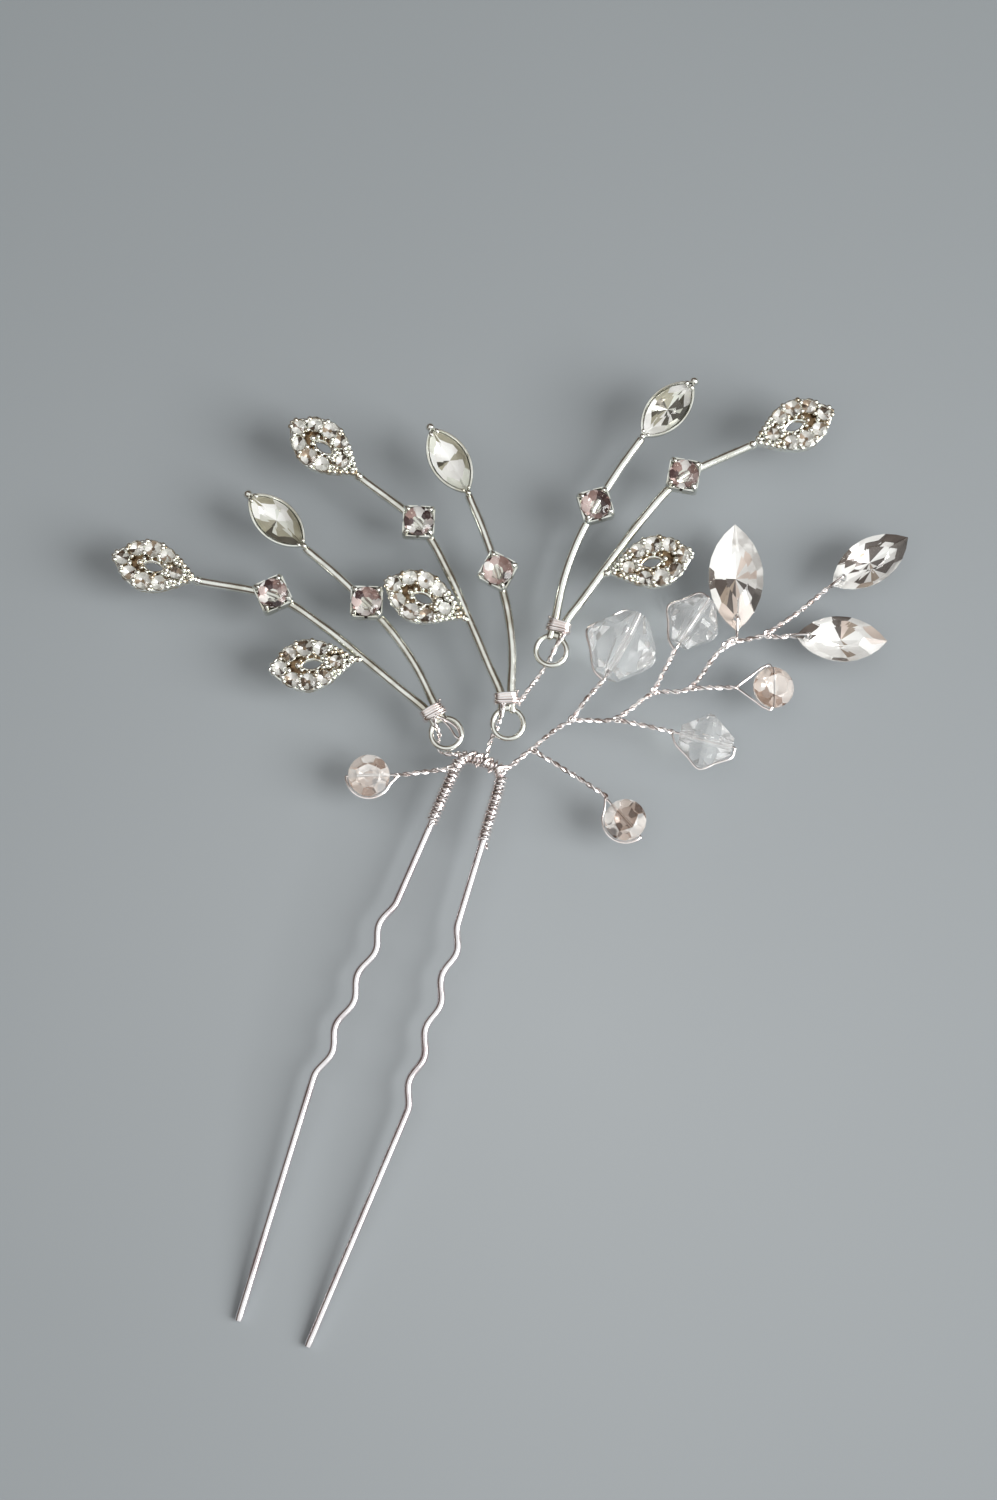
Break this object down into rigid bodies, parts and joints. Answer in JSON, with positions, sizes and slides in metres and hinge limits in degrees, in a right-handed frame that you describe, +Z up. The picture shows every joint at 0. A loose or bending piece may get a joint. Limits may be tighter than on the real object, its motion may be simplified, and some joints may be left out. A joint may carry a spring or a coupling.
{
  "type": "decorative hair pin",
  "caption": "Bridal hair pin: a crinkled two-leg wire pin with cast crystal sprigs and a twisted-wire spray of beads and drops bound to its bridge.",
  "frame": {"origin": "on the surface the pin rests on, under the middle of the whole piece", "axes": "+Z up from the surface it rests on, +Y along the pin from the leg tips towards the bridge"},
  "size_m": [0.0832, 0.1154, 0.0079],
  "materials": {
    "pin_silver": "bright silver-plated spring steel wire, smooth",
    "cast_silver": "bright silver-plated casting, polished, slightly uneven",
    "binding_wire": "fine bright silver-plated craft wire, hand twisted",
    "clear_glass": "clear cut crystal glass, sharp polished facets",
    "foiled_crystal": "foil-backed cut crystal, white and champagne flashes",
    "amber_pave": "small round cut stones with amber and brown fire, bead set"
  },
  "bodies": {
    "pin": {"bridge_wrap": "binding_wire", "large_bicone_stem": "binding_wire", "large_drop": "foiled_crystal", "large_drop_stem": "binding_wire", "left_leg_wrap": "binding_wire", "left_ring_tie": "binding_wire", "left_round_stem": "binding_wire", "lower_round_stem": "binding_wire", "middle_ring_tie": "binding_wire", "outer_bicone_stem": "binding_wire", "outer_drop": "foiled_crystal", "outer_drop_stem": "binding_wire", "outer_round_stem": "binding_wire", "pin_fork": "pin_silver", "right_leg_wrap": "binding_wire", "spray_trunk": "binding_wire", "upper_bicone_stem": "binding_wire", "upper_drop": "foiled_crystal", "upper_drop_stem": "binding_wire"},
    "left_sprig": {"left_end_leaf": "cast_silver", "left_end_leaf_pave": "amber_pave", "left_leaf_rod_chaton": "clear_glass", "left_navette": "clear_glass", "left_navette_cup": "cast_silver", "left_navette_rod_chaton": "clear_glass", "left_rod_tie": "binding_wire", "left_side_leaf": "cast_silver", "left_side_leaf_pave": "amber_pave", "left_sprig_frame": "cast_silver"},
    "middle_sprig": {"middle_end_leaf": "cast_silver", "middle_end_leaf_pave": "amber_pave", "middle_leaf_rod_chaton": "clear_glass", "middle_navette": "clear_glass", "middle_navette_cup": "cast_silver", "middle_navette_rod_chaton": "clear_glass", "middle_rod_tie": "binding_wire", "middle_side_leaf": "cast_silver", "middle_side_leaf_pave": "amber_pave", "middle_sprig_frame": "cast_silver", "right_ring_tie": "binding_wire"},
    "right_sprig": {"right_end_leaf": "cast_silver", "right_end_leaf_pave": "amber_pave", "right_leaf_rod_chaton": "clear_glass", "right_navette": "clear_glass", "right_navette_cup": "cast_silver", "right_navette_rod_chaton": "clear_glass", "right_rod_tie": "binding_wire", "right_side_leaf": "cast_silver", "right_side_leaf_pave": "amber_pave", "right_sprig_frame": "cast_silver"},
    "large_bicone_bead": {"large_bicone": "clear_glass"},
    "outer_bicone_bead": {"outer_bicone": "clear_glass"},
    "upper_bicone_bead": {"upper_bicone": "clear_glass"},
    "lower_round_bead": {"lower_round": "clear_glass"},
    "left_round_bead": {"left_round": "clear_glass"},
    "outer_round_bead": {"outer_round": "clear_glass"}
  },
  "joints": [
    {"name": "left_sprig_lift", "type": "hinge", "parent": "pin", "child": "left_sprig", "pos_m": [0.00112, 0.00761, 0.0046], "axis": [0.6266, 0.7793, 0], "range_deg": [0, 10]},
    {"name": "middle_sprig_lift", "type": "hinge", "parent": "pin", "child": "middle_sprig", "pos_m": [0.00644, 0.01043, 0.0046], "axis": [0.915, 0.4035, 0], "range_deg": [0, 10]},
    {"name": "right_sprig_lift", "type": "hinge", "parent": "middle_sprig", "child": "right_sprig", "pos_m": [0.0075, 0.01959, 0.0046], "axis": [0.9986, 0.0523, 0], "range_deg": [0, 10]},
    {"name": "large_bicone_spin", "type": "hinge", "parent": "pin", "child": "large_bicone_bead", "pos_m": [0.01451, 0.02456, 0.004], "axis": [0.1159, 0.9658, -0.2318], "continuous": true},
    {"name": "outer_bicone_spin", "type": "hinge", "parent": "pin", "child": "outer_bicone_bead", "pos_m": [0.02661, 0.01766, 0.0043], "axis": [0.9953, 0.0971, 0], "continuous": true},
    {"name": "upper_bicone_spin", "type": "hinge", "parent": "pin", "child": "upper_bicone_bead", "pos_m": [0.02096, 0.02971, 0.0043], "axis": [0.2268, 0.9739, 0], "continuous": true},
    {"name": "lower_round_spin", "type": "hinge", "parent": "pin", "child": "lower_round_bead", "pos_m": [0.02131, 0.00636, 0.0043], "axis": [0.8768, -0.4808, 0], "continuous": true},
    {"name": "left_round_spin", "type": "hinge", "parent": "pin", "child": "left_round_bead", "pos_m": [-0.00649, 0.00146, 0.0043], "axis": [-0.9308, -0.3657, 0], "continuous": true},
    {"name": "outer_round_spin", "type": "hinge", "parent": "pin", "child": "outer_round_bead", "pos_m": [0.03161, 0.02576, 0.0043], "axis": [-0.3396, 0.9406, 0], "continuous": true}
  ]
}
